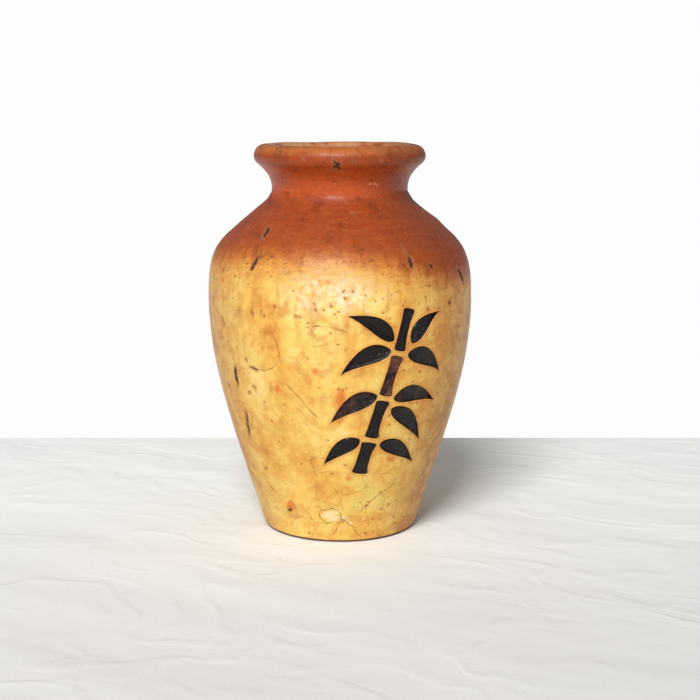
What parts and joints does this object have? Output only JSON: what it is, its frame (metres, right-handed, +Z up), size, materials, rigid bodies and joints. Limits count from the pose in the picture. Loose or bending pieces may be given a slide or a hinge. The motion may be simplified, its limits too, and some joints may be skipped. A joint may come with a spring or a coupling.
{
  "type": "sake bottle",
  "caption": "Stoneware sake bottle with a round belly tapering to a narrow foot, a short neck, a wide rolled lip and a carved bamboo spray filled in black.",
  "frame": {"origin": "centre of the underside of the foot", "axes": "+Z up along the axis that the bottle is thrown around, -Y towards the front, +X towards the side that the carving leans to"},
  "size_m": [0.1096, 0.1096, 0.16],
  "materials": {
    "clay": "unglazed, matt and slightly gritty",
    "amber_glaze": "satin gloss, mottled, finely crazed, with kiln pits and scratches",
    "iron_glaze": "satin gloss, rust brown, running down into the amber",
    "inner_glaze": "satin gloss, thin and even",
    "black_inlay": "glossy, brushed, worn brown where it stands proud"
  },
  "bodies": {
    "root": {"foot_disc": "clay", "lower_wall": "clay", "shoulder": "clay", "neck_collar": "clay", "rolled_lip": "clay", "amber_glaze": "amber_glaze", "iron_glaze": "iron_glaze", "inner_glaze": "inner_glaze", "culm_1": "black_inlay", "culm_2": "black_inlay", "culm_3": "black_inlay", "culm_4": "black_inlay", "leaf_1": "black_inlay", "leaf_2": "black_inlay", "leaf_3": "black_inlay", "leaf_4": "black_inlay", "leaf_5": "black_inlay", "leaf_6": "black_inlay", "leaf_7": "black_inlay", "leaf_8": "black_inlay", "leaf_9": "black_inlay"}
  },
  "joints": []
}
